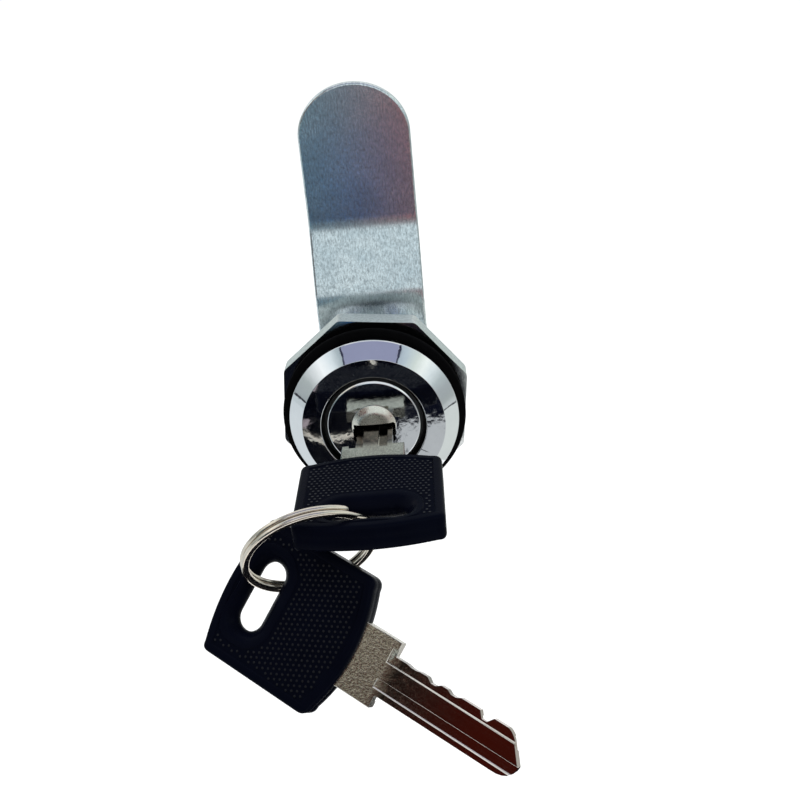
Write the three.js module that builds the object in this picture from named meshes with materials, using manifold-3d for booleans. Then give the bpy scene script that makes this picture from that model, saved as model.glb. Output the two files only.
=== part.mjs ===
// A cabinet cam lock with two keys on a split ring. Millimetres, +Z up.
// The lock's axis is Y. The origin is on that axis, at the panel seat: the plane of the gasket's back face.
// -Y is the front of the door, +Y is inside the cabinet, and +X is to the right seen from the front.

import * as THREE from 'three';
import { mergeVertices } from 'three/addons/utils/BufferGeometryUtils.js';
import Module from 'manifold-3d';

const wasm = await Module();
wasm.setup();

// ---------------------------------------------------------------- driving dimensions

const GAP = 0.3;                  // between pieces that are clamped or rest on each other
const ROUND = 56;                 // sides of a large circle
const SMALL_ROUND = 24;           // sides of a small circle

// Housing: bezel, flange and threaded barrel
const RIM_R = 14;                 // outer edge of the bezel
const FACE_R = 11.7;              // outer edge of the flat front face
const POCKET_R = 8.62;            // round pocket for the plug's head
const FACE_Y = -5.4;
const CONE_BACK_Y = -2.7;
const FLANGE_BACK_Y = -1.3;
const POCKET_FLOOR_Y = -3.1;
const BARREL_R = 10.9;            // M22 thread, taken at its crests
const BARREL_END_Y = 17.6;
const BARREL_CHAMFER = 0.7;
const ACROSS_FLATS = 19.8;        // flats at the top and bottom of the barrel
const BORE_R = 7.35;
const BROACH_X = 8.4;             // half width across the two wafer broaches

// Gasket and nut
const GASKET_R = 15.2;
const GASKET_HOLE_R = 11.2;
const GASKET_FRONT_Y = -1;
const NUT_ACROSS_FLATS = 30.6;
const NUT_HOLE_R = 11.1;
const NUT_FRONT_Y = 2.2;
const NUT_BACK_Y = 6.3;
const NUT_CHAMFER = 0.4;
const NUT_FACE_R = 15;            // where the chamfer meets the nut's flat faces
const NUT_CORNER_R = 17;
const NUT_SIDES = 8;
const NUT_TURN = THREE.MathUtils.degToRad(6.3);

// Plug
const PLUG_FACE_Y = -5;
const PLUG_FLAT_R = 7.5;
const HEAD_R = 8.2;
const HEAD_CHAMFER = 0.6;
const HEAD_BACK_Y = -3.4;
const PLUG_R = 7.2;
const PLUG_END_Y = 17.3;
const DISH_R = 3.55;              // dished recess round the keyway
const DISH_FLOOR_R = 2.5;
const DISH_DEPTH = 1.1;
const DRIVE_HALF = 4;             // half width of the square behind the plug
const DRIVE_CORNER_R = 5.3;
const DRIVE_END_Y = 21.2;
const SCREW_HOLE_R = 2.2;
const SCREW_HOLE_Y = 12.6;

// Keyway and wafers
const KEY_Z = -1.1;               // middle plane of the key in the lock
const KEYWAY_HALF_WIDTH = 3.5;
const KEYWAY_HALF_HEIGHT = 1.35;
const KEYWAY_END_Y = 10.1;
const WARD_DEPTH = 0.7;           // ridges of the keyway that fit the blade's grooves
const STEP_DEPTH = 0.5;
const WAFER_COUNT = 5;
const FIRST_WAFER_Y = -2.2;
const WAFER_PITCH = 2.6;
const WAFER_THICKNESS = 1;
const CHAMBER_WIDTH = 1.3;
const WAFER_R = 7.1;
const WAFER_LOW_Z = -4.9;
const WAFER_HIGH_Z = 2.7;
const WINDOW_HALF_WIDTH = 4.1;
const WINDOW_HALF_HEIGHT = 1.45;
const EAR_X = 3.1;                // left side of the ear that the spring pushes
const EAR_WIDTH = 1.1;
const EAR_TOP_Z = 4.2;
const SPRING_Z = 3.5;
const SPRING_END_X = -1.6;
const SPRING_COIL_R = 0.58;
const SPRING_WIRE_R = 0.13;
const SPRING_TURNS = 5;
const SPRING_STEPS = 50;
const SPRING_SLACK = 0.1;
const SPRING_POCKET_R = 0.85;

// Behind the barrel: stop washer, cam, lock washer and screw
const WASHER_R = 10.2;
const WASHER_THICKNESS = 1.2;
const STOP_TAB_INNER_R = 8.1;
const STOP_TAB_REACH = 1.4;       // how far the tab enters the barrel's end
const STOP_ANGLE = THREE.MathUtils.degToRad(-45);
const STOP_TAB_HALF = THREE.MathUtils.degToRad(10);
const STOP_CLEAR = THREE.MathUtils.degToRad(2);
const CAM_FRONT_Y = BARREL_END_Y + WASHER_THICKNESS + 2 * GAP;
const CAM_THICKNESS = 2;
const CAM_HALF_WIDTH = 9.67;
const CAM_TIP_Z = 50.7;
const CAM_TIP_HEIGHT = 8.9;       // height of the tip's half ellipse
const CAM_LOW_BEND_Z = 13.6;
const CAM_HIGH_BEND_Z = 26.2;
const CAM_OFFSET = 3.5;           // how far the crank steps back from the panel
const CAM_BEND_HALF = 1.6;        // half height of each rounded bend
const CAM_BEND_EASE = 0.2;
const SQUARE_CLEAR = 0.15;
const LOCK_WASHER_R = 5;
const LOCK_WASHER_HOLE_R = 2.75;
const LOCK_WASHER_THICKNESS = 1.1;
const LOCK_WASHER_SPLIT = 0.6;
const SCREW_R = 2;
const SCREW_HEAD_AF = 8;
const SCREW_HEAD_HEIGHT = 3.4;
const SCREW_CROWN_HEIGHT = 0.7;
const SCREW_CROWN_WIDTH = 1.2;
const SCREW_END_CHAMFER = 0.5;
const SCREW_END_Y = 13.2;

// Key. It is drawn flat: X runs from the bow's rear corners to the tip, Y across, Z through its thickness.
const BOW_THICKNESS = 4;
const BOW_HALF_WIDTH = 10.7;
const BOW_FRONT_X = 20.8;
const BOW_FRONT_CORNER_X = 19.1;
const BOW_REAR_BULGE = 1.3;
const BOW_FRONT_CORNER = 1.6;
const BOW_REAR_CORNER = 1.2;
const BOW_EDGE = 0.6;             // rounding of the bow's edges
const BOW_CORNER_PULL = 0.4;
const SLOT_X = 4.1;
const SLOT_HALF_WIDTH = 2.1;
const SLOT_HALF_LENGTH = 5.4;
const SLOT_FLARE = 1.4;
const BLADE_THICKNESS = 2;
const SHOULDER_HALF_WIDTH = 4.95;
const SHOULDER_END_X = 26.2;
const TANG_START_X = 13;
const TANG_CLEAR = 0.15;
const BLADE_BACK_Y = -3.05;
const BLADE_EDGE_Y = 2.85;
const TIP_X = 47.8;
const TIP_START_X = 44.8;
const TIP_HALF_Y = -0.9;          // where the tip's round side ends
const RAMP_X = 45.7;              // low end of the ramp that lifts the wafers
const RAMP_Y = 2;
const RAMP_TOP_X = 44.2;
const CUTS = [[29.2, 0.15], [32.6, 0.5], [35.8, 0.35], [41, 0.9]];   // position and depth of each cut
const CUT_FLAT_HALF = 0.4;
const CUT_HALF = 1.1;
const GROOVE_DEPTH = 0.5;
const GROOVE_INNER_Y = -0.8;
const GROOVE_OUTER_Y = -2.25;
const STEP_Y = 1.6;
const GROOVE_START_X = 25.4;

// Places of the key in the lock, the ring and the spare key
const KEY_REAR_Y = -38;
const RING_CENTRE = new THREE.Vector3(-9, -34.1, -5.2);
const RING_NORMAL = new THREE.Vector3(-0.253, 0.841, 0.479).normalize();
const RING_R = 9.35;
const RING_RADIAL = 1.1;          // width of the wire, measured along the ring's radius
const RING_COIL = 0.78;           // thickness of one coil
const RING_PITCH = 0.86;          // between the middles of the two coils
const RING_START = THREE.MathUtils.degToRad(163);
const RING_JOG = THREE.MathUtils.degToRad(34);
const RING_GAP = THREE.MathUtils.degToRad(3);
const RING_STEPS = 88;
const SPARE_POSITION = new THREE.Vector3(-19.94, -31.55, -11.31);
const SPARE_ALONG = new THREE.Vector3(0.796, -0.521, -0.308).normalize();
const SPARE_ACROSS = new THREE.Vector3(0.543, 0.39, 0.744);

// ---------------------------------------------------------------- materials

const metal = (color, roughness) => new THREE.MeshStandardMaterial({ color, roughness, metalness: 1 });
const chrome = metal(0xd8dcdf, 0.06);
const zinc = metal(0xb4bcc0, 0.35);
const nickel = metal(0xb9b4a6, 0.3);
const brass = metal(0xc2a05a, 0.35);
const spring = metal(0x8a8d90, 0.3);
const rubber = new THREE.MeshStandardMaterial({ color: 0x0c0c0d, roughness: 0.8, metalness: 0 });
const plastic = new THREE.MeshStandardMaterial({ color: 0x0b0d14, roughness: 0.5, metalness: 0 });

// ---------------------------------------------------------------- geometry helpers

// A closed solid from a three.js geometry, with its shared vertices merged.
function solid(geometry) {
  geometry.deleteAttribute('normal');
  geometry.deleteAttribute('uv');
  const merged = mergeVertices(geometry, 1e-4);
  const index = merged.index.array;
  const triangles = [];
  for (let i = 0; i < index.length; i += 3) {
    const [a, b, c] = [index[i], index[i + 1], index[i + 2]];
    if (a !== b && b !== c && c !== a) triangles.push(a, b, c);
  }
  return new wasm.Manifold(new wasm.Mesh({
    numProp: 3,
    vertProperties: Float32Array.from(merged.attributes.position.array),
    triVerts: Uint32Array.from(triangles),
  }));
}

// A mesh of a solid, in its own node.
function part(name, body, material) {
  const { vertProperties, triVerts } = body.getMesh();
  const geometry = new THREE.BufferGeometry();
  geometry.setAttribute('position', new THREE.BufferAttribute(Float32Array.from(vertProperties), 3));
  geometry.setIndex(new THREE.BufferAttribute(Uint32Array.from(triVerts), 1));
  geometry.computeVertexNormals();
  const mesh = new THREE.Mesh(geometry, material);
  mesh.name = name;
  return mesh;
}

// A body turned about Y from radius and Y pairs, listed with the material on the left.
function turned(profile, sides = ROUND) {
  return solid(new THREE.LatheGeometry(profile.map(([r, y]) => new THREE.Vector2(r, y)), sides));
}

function disc(radius, y0, y1, sides = ROUND) {
  return turned([[0, y0], [radius, y0], [radius, y1], [0, y1]], sides);
}

function washer(holeR, radius, y0, y1, sides = ROUND) {
  return turned([[holeR, y0], [radius, y0], [radius, y1], [holeR, y1], [holeR, y0]], sides);
}

function block(x0, x1, y0, y1, z0, z1) {
  const box = new THREE.BoxGeometry(x1 - x0, y1 - y0, z1 - z0);
  return solid(box.translate((x0 + x1) / 2, (y0 + y1) / 2, (z0 + z1) / 2));
}

// A plate whose outline is drawn in X and Z, as seen from the front, and which runs from y0 to y1.
function plate(shape, y0, y1, curveSegments = 12) {
  const flat = new THREE.ExtrudeGeometry(shape, { depth: y1 - y0, bevelEnabled: false, curveSegments });
  return solid(flat.rotateX(Math.PI / 2).translate(0, y1, 0));
}

// A flat piece drawn in X and Y, of full thickness about Z = 0.
function slab(shape, thickness, options = {}) {
  const { edge = 0, curveSegments = 6 } = options;
  const flat = new THREE.ExtrudeGeometry(shape, {
    depth: thickness - 2 * edge,
    bevelEnabled: edge > 0,
    bevelThickness: edge,
    bevelSize: edge,
    bevelOffset: -edge,
    bevelSegments: 2,
    curveSegments,
  });
  return solid(flat.translate(0, 0, edge - thickness / 2));
}

function polygon(points) {
  return new THREE.Shape(points.map(([x, y]) => new THREE.Vector2(x, y)));
}

function regularPolygon(sides, acrossFlats) {
  const radius = acrossFlats / 2 / Math.cos(Math.PI / sides);
  const corner = (i) => ((i + 0.5) * 2 * Math.PI) / sides;
  const corners = Array.from({ length: sides }, (_, i) => corner(i));
  return polygon(corners.map((angle) => [radius * Math.cos(angle), radius * Math.sin(angle)]));
}

// A sector of a ring, drawn in X and Z.
function sector(innerR, outerR, from, to) {
  const shape = new THREE.Shape();
  shape.absarc(0, 0, outerR, from, to, false);
  shape.absarc(0, 0, innerR, to, from, true);
  return shape;
}

// A bar swept through a row of equal sections, each a list of corners, and closed with flat ends.
function swept(sections) {
  const corners = sections[0].length;
  const positions = sections.flat().flatMap((p) => [p.x, p.y, p.z]);
  const index = [];
  for (let i = 0; i + 1 < sections.length; i += 1) {
    for (let j = 0; j < corners; j += 1) {
      const a = i * corners + j;
      const b = i * corners + ((j + 1) % corners);
      index.push(a, b, b + corners, a, b + corners, a + corners);
    }
  }
  const last = (sections.length - 1) * corners;
  for (let j = 1; j + 1 < corners; j += 1) {
    index.push(0, j + 1, j, last, last + j, last + j + 1);
  }
  const geometry = new THREE.BufferGeometry();
  geometry.setAttribute('position', new THREE.Float32BufferAttribute(positions, 3));
  geometry.setIndex(index);
  return solid(geometry);
}

// ---------------------------------------------------------------- lock body

function makeHousing() {
  const body = turned([
    [POCKET_R, FACE_Y],
    [FACE_R, FACE_Y],
    [RIM_R, CONE_BACK_Y],
    [RIM_R, FLANGE_BACK_Y],
    [BARREL_R, FLANGE_BACK_Y],
    [BARREL_R, BARREL_END_Y - BARREL_CHAMFER],
    [BARREL_R - BARREL_CHAMFER, BARREL_END_Y],
    [BORE_R, BARREL_END_Y],
    [BORE_R, POCKET_FLOOR_Y],
    [POCKET_R, POCKET_FLOOR_Y],
    [POCKET_R, FACE_Y],
  ]);
  const flat = ACROSS_FLATS / 2;
  const topFlat = block(-RIM_R, RIM_R, FLANGE_BACK_Y, BARREL_END_Y + 1, flat, RIM_R);
  const bottomFlat = block(-RIM_R, RIM_R, FLANGE_BACK_Y, BARREL_END_Y + 1, -RIM_R, -flat);
  const firstChamber = FIRST_WAFER_Y - CHAMBER_WIDTH / 2;
  const low = WAFER_LOW_Z - GAP;
  const high = WAFER_HIGH_Z + GAP;
  const broaches = block(-BROACH_X, BROACH_X, firstChamber, BARREL_END_Y + 1, low, high);
  const from = STOP_ANGLE - Math.PI / 2 - STOP_TAB_HALF - STOP_CLEAR;
  const to = STOP_ANGLE + STOP_TAB_HALF + STOP_CLEAR;
  const stopY = BARREL_END_Y - STOP_TAB_REACH - GAP;
  const stopRecess = plate(sector(BORE_R - 1, BARREL_R + 1, from, to), stopY, BARREL_END_Y + 1);
  return body.subtract(topFlat).subtract(bottomFlat).subtract(broaches).subtract(stopRecess);
}

function makeNut() {
  const prism = plate(regularPolygon(NUT_SIDES, NUT_ACROSS_FLATS), NUT_FRONT_Y, NUT_BACK_Y);
  const rounding = turned([
    [0, NUT_FRONT_Y],
    [NUT_FACE_R, NUT_FRONT_Y],
    [NUT_CORNER_R, NUT_FRONT_Y + NUT_CHAMFER],
    [NUT_CORNER_R, NUT_BACK_Y - NUT_CHAMFER],
    [NUT_FACE_R, NUT_BACK_Y],
    [0, NUT_BACK_Y],
  ]);
  return prism.intersect(rounding).subtract(disc(NUT_HOLE_R, NUT_FRONT_Y - 1, NUT_BACK_Y + 1));
}

// ---------------------------------------------------------------- plug, wafers and springs

const waferY = (i) => FIRST_WAFER_Y + i * WAFER_PITCH;

// The keyway's outline, drawn in X and Z. Each side has a low step and a ridge, and one side is the other
// turned half round.
function keywayShape() {
  const half = [
    [KEYWAY_HALF_WIDTH, KEYWAY_HALF_HEIGHT],
    [-GROOVE_OUTER_Y - TANG_CLEAR, KEYWAY_HALF_HEIGHT],
    [-GROOVE_OUTER_Y - TANG_CLEAR, KEYWAY_HALF_HEIGHT - WARD_DEPTH],
    [-GROOVE_INNER_Y + TANG_CLEAR, KEYWAY_HALF_HEIGHT - WARD_DEPTH],
    [-GROOVE_INNER_Y + TANG_CLEAR, KEYWAY_HALF_HEIGHT],
    [-STEP_Y - TANG_CLEAR, KEYWAY_HALF_HEIGHT],
    [-STEP_Y - TANG_CLEAR, KEYWAY_HALF_HEIGHT - STEP_DEPTH],
    [-KEYWAY_HALF_WIDTH, KEYWAY_HALF_HEIGHT - STEP_DEPTH],
  ];
  const otherHalf = half.map(([x, z]) => [-x, -z]);
  return polygon([...half, ...otherHalf].map(([x, z]) => [x, z + KEY_Z]));
}

function makePlug() {
  let body = turned([
    [0, PLUG_FACE_Y],
    [PLUG_FLAT_R, PLUG_FACE_Y],
    [HEAD_R, PLUG_FACE_Y + HEAD_CHAMFER],
    [HEAD_R, HEAD_BACK_Y],
    [PLUG_R, HEAD_BACK_Y],
    [PLUG_R, PLUG_END_Y],
    [0, PLUG_END_Y],
  ]);
  const drive = block(-DRIVE_HALF, DRIVE_HALF, PLUG_END_Y - 1, DRIVE_END_Y, -DRIVE_HALF, DRIVE_HALF);
  body = body.add(drive.intersect(disc(DRIVE_CORNER_R, PLUG_END_Y - 1, DRIVE_END_Y)));
  const slope = (DISH_R - DISH_FLOOR_R) / DISH_DEPTH;
  const dish = turned([
    [0, PLUG_FACE_Y - 1],
    [DISH_R + slope, PLUG_FACE_Y - 1],
    [DISH_FLOOR_R, PLUG_FACE_Y + DISH_DEPTH],
    [0, PLUG_FACE_Y + DISH_DEPTH],
  ], SMALL_ROUND * 2);
  body = body.subtract(dish);
  body = body.subtract(plate(keywayShape(), PLUG_FACE_Y - 1, KEYWAY_END_Y));
  body = body.subtract(disc(SCREW_HOLE_R, SCREW_HOLE_Y, DRIVE_END_Y + 1, SMALL_ROUND));
  for (let i = 0; i < WAFER_COUNT; i += 1) {
    const y0 = waferY(i) - CHAMBER_WIDTH / 2;
    const y1 = waferY(i) + CHAMBER_WIDTH / 2;
    const edge = PLUG_R + 1;
    const clear = TANG_CLEAR;
    body = body.subtract(block(-edge, edge, y0, y1, WAFER_LOW_Z - clear, WAFER_HIGH_Z + clear));
    body = body.subtract(block(EAR_X - GAP, edge, y0, y1, WAFER_HIGH_Z, EAR_TOP_Z + clear));
    const pocket = new THREE.CylinderGeometry(SPRING_POCKET_R, SPRING_POCKET_R, edge - SPRING_END_X + GAP, 12);
    pocket.rotateZ(Math.PI / 2).translate((edge + SPRING_END_X - GAP) / 2, waferY(i), SPRING_Z);
    body = body.subtract(solid(pocket));
  }
  return body;
}

// A flat wafer: rounded at both ends like the plug, with a window for the blade and an ear for its spring.
function makeWafer(y) {
  const y0 = y - WAFER_THICKNESS / 2;
  const y1 = y + WAFER_THICKNESS / 2;
  const strip = block(-WAFER_R, WAFER_R, y0, y1, WAFER_LOW_Z, WAFER_HIGH_Z);
  const ear = block(EAR_X, EAR_X + EAR_WIDTH, y0, y1, WAFER_HIGH_Z - 1, EAR_TOP_Z);
  const windowLow = KEY_Z - WINDOW_HALF_HEIGHT;
  const windowHigh = KEY_Z + WINDOW_HALF_HEIGHT;
  const opening = block(-WINDOW_HALF_WIDTH, WINDOW_HALF_WIDTH, y0 - 1, y1 + 1, windowLow, windowHigh);
  return strip.add(ear).intersect(disc(WAFER_R, y0, y1)).subtract(opening);
}

// A compression spring along X, between the plug's pocket and the wafer's ear.
function makeWaferSpring(y) {
  const length = EAR_X - SPRING_END_X - 2 * SPRING_WIRE_R - SPRING_SLACK;
  const sections = [];
  for (let i = 0; i <= SPRING_STEPS; i += 1) {
    const angle = (i / SPRING_STEPS) * SPRING_TURNS * 2 * Math.PI;
    const radial = new THREE.Vector3(0, Math.cos(angle), Math.sin(angle));
    const centre = new THREE.Vector3(SPRING_END_X + SPRING_WIRE_R + (length * i) / SPRING_STEPS, y, SPRING_Z);
    centre.addScaledVector(radial, SPRING_COIL_R);
    sections.push([[1, 0], [0, -1], [-1, 0], [0, 1]].map(([r, a]) => centre.clone()
      .addScaledVector(radial, r * SPRING_WIRE_R)
      .add(new THREE.Vector3(a * SPRING_WIRE_R, 0, 0))));
  }
  return swept(sections);
}

// ---------------------------------------------------------------- stop washer, cam and screw

function squareHole(y0, y1) {
  const half = DRIVE_HALF + SQUARE_CLEAR;
  return block(-half, half, y0 - 1, y1 + 1, -half, half);
}

function makeStopWasher() {
  const front = BARREL_END_Y + GAP;
  const back = front + WASHER_THICKNESS;
  const tabShape = sector(STOP_TAB_INNER_R, WASHER_R, STOP_ANGLE - STOP_TAB_HALF, STOP_ANGLE + STOP_TAB_HALF);
  const tab = plate(tabShape, BARREL_END_Y - STOP_TAB_REACH, back);
  return disc(WASHER_R, front, back).add(tab).subtract(squareHole(front, back));
}

// The cam: a strip with a round hub end and a half elliptical tip, cranked away from the panel.
function makeCam() {
  const outline = new THREE.Shape();
  outline.absarc(0, 0, CAM_HALF_WIDTH, Math.PI, 2 * Math.PI, false);
  outline.absellipse(0, CAM_TIP_Z - CAM_TIP_HEIGHT, CAM_HALF_WIDTH, CAM_TIP_HEIGHT, 0, Math.PI, false);
  const back = CAM_FRONT_Y + CAM_OFFSET + CAM_THICKNESS;
  const prism = plate(outline, CAM_FRONT_Y - 1, back + 1, 24);

  // The strip's side view: Y to the back and Z up, at the given distance behind its front surface.
  const slope = CAM_OFFSET / (CAM_HIGH_BEND_Z - CAM_LOW_BEND_Z);
  const lean = Math.atan(slope) / 2;
  const ease = CAM_BEND_HALF * slope;
  const surface = (depth) => {
    const near = CAM_FRONT_Y + depth;
    const far = near + CAM_OFFSET;
    const low = CAM_LOW_BEND_Z - depth * Math.tan(lean);
    const high = CAM_HIGH_BEND_Z - depth * Math.tan(lean);
    return [
      [near, -2 * CAM_HALF_WIDTH],
      [near, low - CAM_BEND_HALF],
      [near + CAM_BEND_EASE, low],
      [near + ease, low + CAM_BEND_HALF],
      [far - ease, high - CAM_BEND_HALF],
      [far - CAM_BEND_EASE, high],
      [far, high + CAM_BEND_HALF],
      [far, CAM_TIP_Z + CAM_HALF_WIDTH],
    ];
  };
  const sideView = polygon([...surface(0), ...surface(CAM_THICKNESS).reverse()]);
  const strip = new THREE.ExtrudeGeometry(sideView, { depth: 4 * CAM_HALF_WIDTH, bevelEnabled: false });
  strip.translate(0, 0, -2 * CAM_HALF_WIDTH);
  // Side view X becomes Y, side view Y becomes Z, and the extrusion runs along X.
  strip.applyMatrix4(new THREE.Matrix4().makeBasis(
    new THREE.Vector3(0, 1, 0),
    new THREE.Vector3(0, 0, 1),
    new THREE.Vector3(1, 0, 0),
  ));
  return prism.intersect(solid(strip)).subtract(squareHole(CAM_FRONT_Y, CAM_FRONT_Y + CAM_THICKNESS));
}

function makeLockWasher() {
  const front = CAM_FRONT_Y + CAM_THICKNESS + GAP;
  const back = front + LOCK_WASHER_THICKNESS;
  const split = block(0, LOCK_WASHER_R + 1, front - 1, back + 1, -LOCK_WASHER_SPLIT / 2, LOCK_WASHER_SPLIT / 2);
  return washer(LOCK_WASHER_HOLE_R, LOCK_WASHER_R, front, back, SMALL_ROUND).subtract(split);
}

function makeCamScrew() {
  const seat = CAM_FRONT_Y + CAM_THICKNESS + 2 * GAP + LOCK_WASHER_THICKNESS;
  const top = seat + SCREW_HEAD_HEIGHT;
  const corner = SCREW_HEAD_AF / 2 / Math.cos(Math.PI / 6);
  const head = plate(regularPolygon(6, SCREW_HEAD_AF), seat, top);
  const crown = turned([
    [0, seat],
    [corner, seat],
    [corner, top - SCREW_CROWN_HEIGHT],
    [corner - SCREW_CROWN_WIDTH, top],
    [0, top],
  ], SMALL_ROUND);
  const shank = turned([
    [0, SCREW_END_Y],
    [SCREW_R - SCREW_END_CHAMFER, SCREW_END_Y],
    [SCREW_R, SCREW_END_Y + SCREW_END_CHAMFER],
    [SCREW_R, seat + 1],
    [0, seat + 1],
  ], SMALL_ROUND);
  return head.intersect(crown).add(shank);
}

// ---------------------------------------------------------------- keys and ring

function bowShape() {
  const w = BOW_HALF_WIDTH;
  const frontY = w - BOW_FRONT_CORNER;
  const rearY = w - BOW_REAR_CORNER;
  const frontPull = 2 * BOW_FRONT_X - BOW_FRONT_CORNER_X;
  const shape = new THREE.Shape();
  shape.moveTo(BOW_REAR_CORNER, -w);
  shape.lineTo(BOW_FRONT_CORNER_X - BOW_FRONT_CORNER, -w);
  shape.quadraticCurveTo(BOW_FRONT_CORNER_X - BOW_CORNER_PULL, -w, BOW_FRONT_CORNER_X, -frontY);
  shape.quadraticCurveTo(frontPull, 0, BOW_FRONT_CORNER_X, frontY);
  shape.quadraticCurveTo(BOW_FRONT_CORNER_X - BOW_CORNER_PULL, w, BOW_FRONT_CORNER_X - BOW_FRONT_CORNER, w);
  shape.lineTo(BOW_REAR_CORNER, w);
  shape.quadraticCurveTo(0, w, 0, rearY);
  shape.quadraticCurveTo(-2 * BOW_REAR_BULGE, 0, 0, -rearY);
  shape.quadraticCurveTo(0, -w, BOW_REAR_CORNER, -w);
  return shape;
}

function slotShape() {
  const end = SLOT_HALF_LENGTH - SLOT_HALF_WIDTH;
  const shape = new THREE.Shape();
  shape.absarc(SLOT_X, end, SLOT_HALF_WIDTH, 0, Math.PI, false);
  shape.absarc(SLOT_X, -end, SLOT_HALF_WIDTH, Math.PI, 2 * Math.PI, false);
  return shape;
}

function makeBow() {
  const outer = slab(bowShape(), BOW_THICKNESS, { edge: BOW_EDGE, curveSegments: 10 });
  const through = slab(slotShape(), 2 * BOW_THICKNESS, { curveSegments: 8 });
  const flare = () => new THREE.ExtrudeGeometry(slotShape(), {
    depth: 1,
    bevelThickness: SLOT_FLARE,
    bevelSize: SLOT_FLARE,
    bevelSegments: 1,
    curveSegments: 8,
  }).translate(0, 0, BOW_THICKNESS / 2);
  const side = SHOULDER_HALF_WIDTH + TANG_CLEAR;
  const thick = BLADE_THICKNESS / 2 + TANG_CLEAR;
  const socket = block(TANG_START_X - TANG_CLEAR, BOW_FRONT_X + 1, -side, side, -thick, thick);
  return outer.subtract(through)
    .subtract(solid(flare()))
    .subtract(solid(flare().rotateX(Math.PI)))
    .subtract(socket);
}

// The blade, its shoulder and the tang inside the bow, cut from one strip.
// Each face has a groove and a step.
function makeBlade() {
  const shape = new THREE.Shape();
  shape.moveTo(TANG_START_X, -SHOULDER_HALF_WIDTH);
  shape.lineTo(SHOULDER_END_X, -SHOULDER_HALF_WIDTH);
  shape.lineTo(SHOULDER_END_X, BLADE_BACK_Y);
  shape.lineTo(TIP_START_X, BLADE_BACK_Y);
  shape.quadraticCurveTo(TIP_X, BLADE_BACK_Y, TIP_X, TIP_HALF_Y);
  shape.lineTo(RAMP_X, RAMP_Y);
  shape.quadraticCurveTo(TIP_START_X, BLADE_EDGE_Y, RAMP_TOP_X, BLADE_EDGE_Y);
  for (const [x, depth] of [...CUTS].reverse()) {
    shape.lineTo(x + CUT_HALF, BLADE_EDGE_Y);
    shape.lineTo(x + CUT_FLAT_HALF, BLADE_EDGE_Y - depth);
    shape.lineTo(x - CUT_FLAT_HALF, BLADE_EDGE_Y - depth);
    shape.lineTo(x - CUT_HALF, BLADE_EDGE_Y);
  }
  shape.lineTo(SHOULDER_END_X, BLADE_EDGE_Y);
  shape.lineTo(SHOULDER_END_X, SHOULDER_HALF_WIDTH);
  shape.lineTo(TANG_START_X, SHOULDER_HALF_WIDTH);
  const strip = slab(shape, BLADE_THICKNESS);
  const floor = BLADE_THICKNESS / 2 - GROOVE_DEPTH;
  const end = TIP_X + 1;
  const upperGroove = block(GROOVE_START_X, end, GROOVE_OUTER_Y, GROOVE_INNER_Y, floor, BLADE_THICKNESS);
  const upperStep = block(GROOVE_START_X, end, STEP_Y, BLADE_EDGE_Y + 1, floor, BLADE_THICKNESS);
  const lowerGroove = block(GROOVE_START_X, end, -GROOVE_INNER_Y, -GROOVE_OUTER_Y, -BLADE_THICKNESS, -floor);
  const lowerStep = block(GROOVE_START_X, end, BLADE_BACK_Y - 1, -STEP_Y, -BLADE_THICKNESS, -floor);
  return strip.subtract(upperGroove).subtract(upperStep).subtract(lowerGroove).subtract(lowerStep);
}

// The split ring: one wire wound twice, which steps from one coil to the other over a short jog.
// Both wire ends are at the jog.
function makeRing() {
  const sideways = new THREE.Vector3().crossVectors(new THREE.Vector3(0, 0, 1), RING_NORMAL).normalize();
  const upward = new THREE.Vector3().crossVectors(RING_NORMAL, sideways);
  const total = 4 * Math.PI - RING_JOG - RING_GAP;
  const sections = [];
  for (let i = 0; i <= RING_STEPS; i += 1) {
    const turn = (total * i) / RING_STEPS;
    const step = THREE.MathUtils.smoothstep(turn, 2 * Math.PI - RING_JOG, 2 * Math.PI - RING_GAP / 2);
    const radial = new THREE.Vector3()
      .addScaledVector(sideways, Math.cos(RING_START + turn))
      .addScaledVector(upward, Math.sin(RING_START + turn));
    const centre = RING_CENTRE.clone()
      .addScaledVector(radial, RING_R)
      .addScaledVector(RING_NORMAL, (step - 0.5) * RING_PITCH);
    sections.push([[-1, -1], [-1, 1], [1, 1], [1, -1]].map(([r, n]) => centre.clone()
      .addScaledVector(radial, (r * RING_RADIAL) / 2)
      .addScaledVector(RING_NORMAL, (n * RING_COIL) / 2)));
  }
  return swept(sections);
}

// ---------------------------------------------------------------- assembly

const lock = new THREE.Group();

lock.add(part('housing', makeHousing(), chrome));
lock.add(part('gasket', washer(GASKET_HOLE_R, GASKET_R, GASKET_FRONT_Y, 0), rubber));

const nut = part('mounting_nut', makeNut(), zinc);
nut.rotation.y = NUT_TURN;
lock.add(nut);

lock.add(part('plug', makePlug(), chrome));
for (let i = 0; i < WAFER_COUNT; i += 1) {
  lock.add(part(`wafer_${i + 1}`, makeWafer(waferY(i)), brass));
  lock.add(part(`wafer_spring_${i + 1}`, makeWaferSpring(waferY(i)), spring));
}
lock.add(part('stop_washer', makeStopWasher(), zinc));
lock.add(part('cam', makeCam(), zinc));
lock.add(part('lock_washer', makeLockWasher(), zinc));
lock.add(part('cam_screw', makeCamScrew(), zinc));

// The key in the lock points along +Y, with its bitted edge to the left.
const key = new THREE.Group();
key.position.set(0, KEY_REAR_Y, KEY_Z);
key.rotation.z = Math.PI / 2;
key.add(part('key_blade', makeBlade(), nickel));
key.add(part('key_bow', makeBow(), plastic));
lock.add(key);

lock.add(part('split_ring', makeRing(), nickel));

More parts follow.
